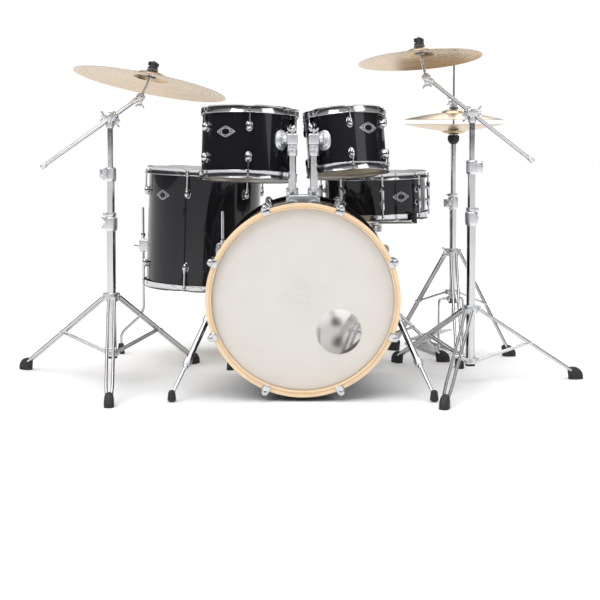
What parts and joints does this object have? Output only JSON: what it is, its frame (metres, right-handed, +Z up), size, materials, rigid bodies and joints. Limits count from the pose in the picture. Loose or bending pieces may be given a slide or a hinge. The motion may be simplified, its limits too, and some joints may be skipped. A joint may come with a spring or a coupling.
{
  "type": "acoustic drum kit",
  "caption": "Acoustic drum kit: bass drum with rack toms, floor tom and snare, hi-hat, ride and crash cymbals on stands, kick pedal and throne.",
  "frame": {"origin": "on the floor, below the middle of the kit's bounding box", "axes": "+X to the audience's right as they face the kit, the kit's longest side; +Y towards the drummer; +Z up, the shortest side"},
  "size_m": [1.908, 1.573, 1.1271],
  "materials": {
    "black_gloss_shell": "gloss black wrap over a wood ply shell",
    "maple_hoop": "clear gloss over natural maple",
    "natural_wood": "sealed bare ply inside the shells",
    "chrome": "polished chrome plate on steel",
    "cast_metal": "polished cast and pressed fittings",
    "coated_head": "rough white coated film",
    "clear_head": "clear film, slightly hazy",
    "bronze": "lathed and brushed cymbal bronze",
    "black_rubber": "matte moulded rubber",
    "black_felt": "pressed wool felt",
    "black_vinyl": "fine grained upholstery vinyl",
    "seat_cloth": "woven cloth"
  },
  "bodies": {
    "kit_base": {"bass_shell": "black_gloss_shell", "bass_front_hoop": "maple_hoop", "bass_rear_hoop": "maple_hoop", "bass_front_head": "coated_head", "bass_batter_head": "clear_head", "tom_mount_bracket": "cast_metal", "floor_tom_shell": "black_gloss_shell", "floor_tom_top_hoop": "chrome", "floor_tom_bottom_hoop": "chrome", "floor_tom_batter_head": "coated_head", "snare_stand_tripod": "chrome", "hihat_tripod": "chrome", "left_boom_tripod": "chrome", "right_boom_tripod": "chrome", "throne_tripod": "chrome", "kick_pedal_base": "cast_metal"},
    "left_spur": {"left_spur_tube": "chrome"},
    "left_spur_leg": {"left_spur_rod": "chrome"},
    "right_spur": {"right_spur_tube": "chrome"},
    "right_spur_leg": {"right_spur_rod": "chrome"},
    "mid_post": {"mid_tom_post": "chrome"},
    "mid_tom": {"mid_tom_arm": "cast_metal", "mid_tom_shell": "black_gloss_shell", "mid_tom_top_hoop": "chrome", "mid_tom_bottom_hoop": "chrome", "mid_tom_batter_head": "coated_head", "mid_tom_resonant_head": "clear_head"},
    "high_post": {"high_tom_post": "chrome"},
    "high_tom": {"high_tom_arm": "cast_metal", "high_tom_shell": "black_gloss_shell", "high_tom_top_hoop": "chrome", "high_tom_bottom_hoop": "chrome", "high_tom_batter_head": "coated_head", "high_tom_resonant_head": "clear_head"},
    "floor_leg_1": {"floor_tom_leg_1": "chrome"},
    "floor_leg_2": {"floor_tom_leg_2": "chrome"},
    "floor_leg_3": {"floor_tom_leg_3": "chrome"},
    "snare_tube": {"snare_stand_tube": "chrome"},
    "snare": {"snare_basket": "chrome", "snare_shell": "black_gloss_shell", "snare_top_hoop": "chrome", "snare_bottom_hoop": "chrome", "snare_batter_head": "coated_head"},
    "throw_off": {"snare_throw_off": "cast_metal"},
    "hihat_tube": {"hihat_upper_tube": "chrome", "hihat_bottom_cymbal": "bronze"},
    "hihat_rod": {"hihat_top_cymbal": "bronze"},
    "hihat_pedal": {"hihat_footboard": "cast_metal"},
    "left_boom_tube": {"left_boom_upper_tube": "chrome"},
    "left_boom_tilter": {"left_boom_clamp": "cast_metal"},
    "left_boom_rod": {"left_boom_arm": "chrome"},
    "ride": {"ride_cymbal": "bronze"},
    "right_boom_tube": {"right_boom_upper_tube": "chrome"},
    "right_boom_tilter": {"right_boom_clamp": "cast_metal"},
    "right_boom_rod": {"right_boom_arm": "chrome"},
    "crash": {"crash_cymbal": "bronze"},
    "kick_board": {"kick_footboard": "cast_metal"},
    "beater": {"kick_beater": "chrome"},
    "throne_column": {"throne_post": "cast_metal"},
    "seat": {"throne_seat": "black_vinyl"}
  },
  "joints": [
    {"name": "left_spur_fold", "type": "hinge", "parent": "kit_base", "child": "left_spur", "pos_m": [-0.26534, -0.5155, 0.25921], "axis": [-0.9839, 0, -0.1789], "range_deg": [0, 50]},
    {"name": "left_spur_length", "type": "slide", "parent": "left_spur", "child": "left_spur_leg", "axis": [-0.3649, -0.4902, -0.7915], "range_m": [-0.08, 0.03]},
    {"name": "right_spur_fold", "type": "hinge", "parent": "kit_base", "child": "right_spur", "pos_m": [0.31534, -0.5155, 0.25921], "axis": [-0.9839, 0, 0.1789], "range_deg": [0, 50]},
    {"name": "right_spur_length", "type": "slide", "parent": "right_spur", "child": "right_spur_leg", "axis": [0.3649, -0.4902, -0.7915], "range_m": [-0.08, 0.03]},
    {"name": "mid_tom_height", "type": "slide", "parent": "kit_base", "child": "mid_post", "axis": [0, 0, 1], "range_m": [0, 0.015]},
    {"name": "mid_tom_tilt", "type": "hinge", "parent": "mid_post", "child": "mid_tom", "pos_m": [-0.009, -0.4905, 0.8], "axis": [1, 0, 0], "range_deg": [-12, 2]},
    {"name": "high_tom_height", "type": "slide", "parent": "kit_base", "child": "high_post", "axis": [0, 0, 1], "range_m": [0, 0.06]},
    {"name": "high_tom_tilt", "type": "hinge", "parent": "high_post", "child": "high_tom", "pos_m": [0.059, -0.4905, 0.8], "axis": [1, 0, 0], "range_deg": [-10, 12]},
    {"name": "floor_leg_1_length", "type": "slide", "parent": "kit_base", "child": "floor_leg_1", "axis": [0, 0, 1], "range_m": [0, 0.1]},
    {"name": "floor_leg_2_length", "type": "slide", "parent": "kit_base", "child": "floor_leg_2", "axis": [0, 0, 1], "range_m": [0, 0.1]},
    {"name": "floor_leg_3_length", "type": "slide", "parent": "kit_base", "child": "floor_leg_3", "axis": [0, 0, 1], "range_m": [0, 0.1]},
    {"name": "snare_height", "type": "slide", "parent": "kit_base", "child": "snare_tube", "axis": [0, 0, 1], "range_m": [-0.02, 0.08]},
    {"name": "snare_tilt", "type": "hinge", "parent": "snare_tube", "child": "snare", "pos_m": [0.281, 0.0645, 0.478], "axis": [1, 0, 0], "range_deg": [-10, 10]},
    {"name": "snare_release", "type": "hinge", "parent": "snare", "child": "throw_off", "pos_m": [0.281, 0.2525, 0.597], "axis": [-0.9997, 0, -0.0262], "range_deg": [0, 75]},
    {"name": "hihat_height", "type": "slide", "parent": "kit_base", "child": "hihat_tube", "axis": [0, 0, 1], "range_m": [0, 0.08]},
    {"name": "hihat_close", "type": "slide", "parent": "hihat_tube", "child": "hihat_rod", "axis": [0, 0, 1], "range_m": [-0.014, 0], "stiffness_N_per_m": 1200, "springref_m": 0.025},
    {"name": "hihat_pedal_press", "type": "hinge", "parent": "kit_base", "child": "hihat_pedal", "pos_m": [0.4725, 0.44513, 0.024], "axis": [-0.9397, -0.342, 0], "range_deg": [-3.5, 0]},
    {"name": "left_boom_height", "type": "slide", "parent": "kit_base", "child": "left_boom_tube", "axis": [0, 0, 1], "range_m": [0, 0.1]},
    {"name": "left_boom_tilt", "type": "hinge", "parent": "left_boom_tube", "child": "left_boom_tilter", "pos_m": [-0.605, -0.2921, 0.87], "axis": [0, -1, 0], "range_deg": [0, 20]},
    {"name": "left_boom_reach", "type": "slide", "parent": "left_boom_tilter", "child": "left_boom_rod", "axis": [0.8171, 0, 0.5764], "range_m": [0, 0.07]},
    {"name": "ride_tilt", "type": "hinge", "parent": "left_boom_rod", "child": "ride", "pos_m": [-0.50939, -0.2921, 0.93744], "axis": [0, -1, 0], "range_deg": [0, 14]},
    {"name": "right_boom_height", "type": "slide", "parent": "kit_base", "child": "right_boom_tube", "axis": [0, 0, 1], "range_m": [0, 0.1]},
    {"name": "right_boom_tilt", "type": "hinge", "parent": "right_boom_tube", "child": "right_boom_tilter", "pos_m": [0.575, -0.3121, 0.887], "axis": [0, 1, 0], "range_deg": [-6, 18]},
    {"name": "right_boom_reach", "type": "slide", "parent": "right_boom_tilter", "child": "right_boom_rod", "axis": [-0.788, 0, 0.6157], "range_m": [0, 0.07]},
    {"name": "crash_tilt", "type": "hinge", "parent": "right_boom_rod", "child": "crash", "pos_m": [0.42843, -0.3121, 1.00151], "axis": [0, 1, 0], "range_deg": [-10, 10]},
    {"name": "kick_press", "type": "hinge", "parent": "kit_base", "child": "kick_board", "pos_m": [0.025, 0.1705, 0.022], "axis": [1, 0, 0], "range_deg": [0, 9.8], "stiffness_Nm_per_rad": 4, "springref_deg": -20.05},
    {"name": "beater_swing", "type": "hinge", "parent": "kit_base", "child": "beater", "pos_m": [0.025, -0.1175, 0.196], "axis": [1, 0, 0], "range_deg": [0, 49]},
    {"name": "throne_height", "type": "slide", "parent": "kit_base", "child": "throne_column", "axis": [0, 0, 1], "range_m": [-0.03, 0.1]},
    {"name": "seat_spin", "type": "hinge", "parent": "throne_column", "child": "seat", "pos_m": [0.025, 0.6345, 0.45], "axis": [0, 0, 1], "continuous": true}
  ],
  "couplings": [
    {"joint": "hihat_pedal_press", "follows": "hihat_close", "rad_per_m": 4.1667},
    {"joint": "beater_swing", "follows": "kick_press", "ratio": 5}
  ]
}
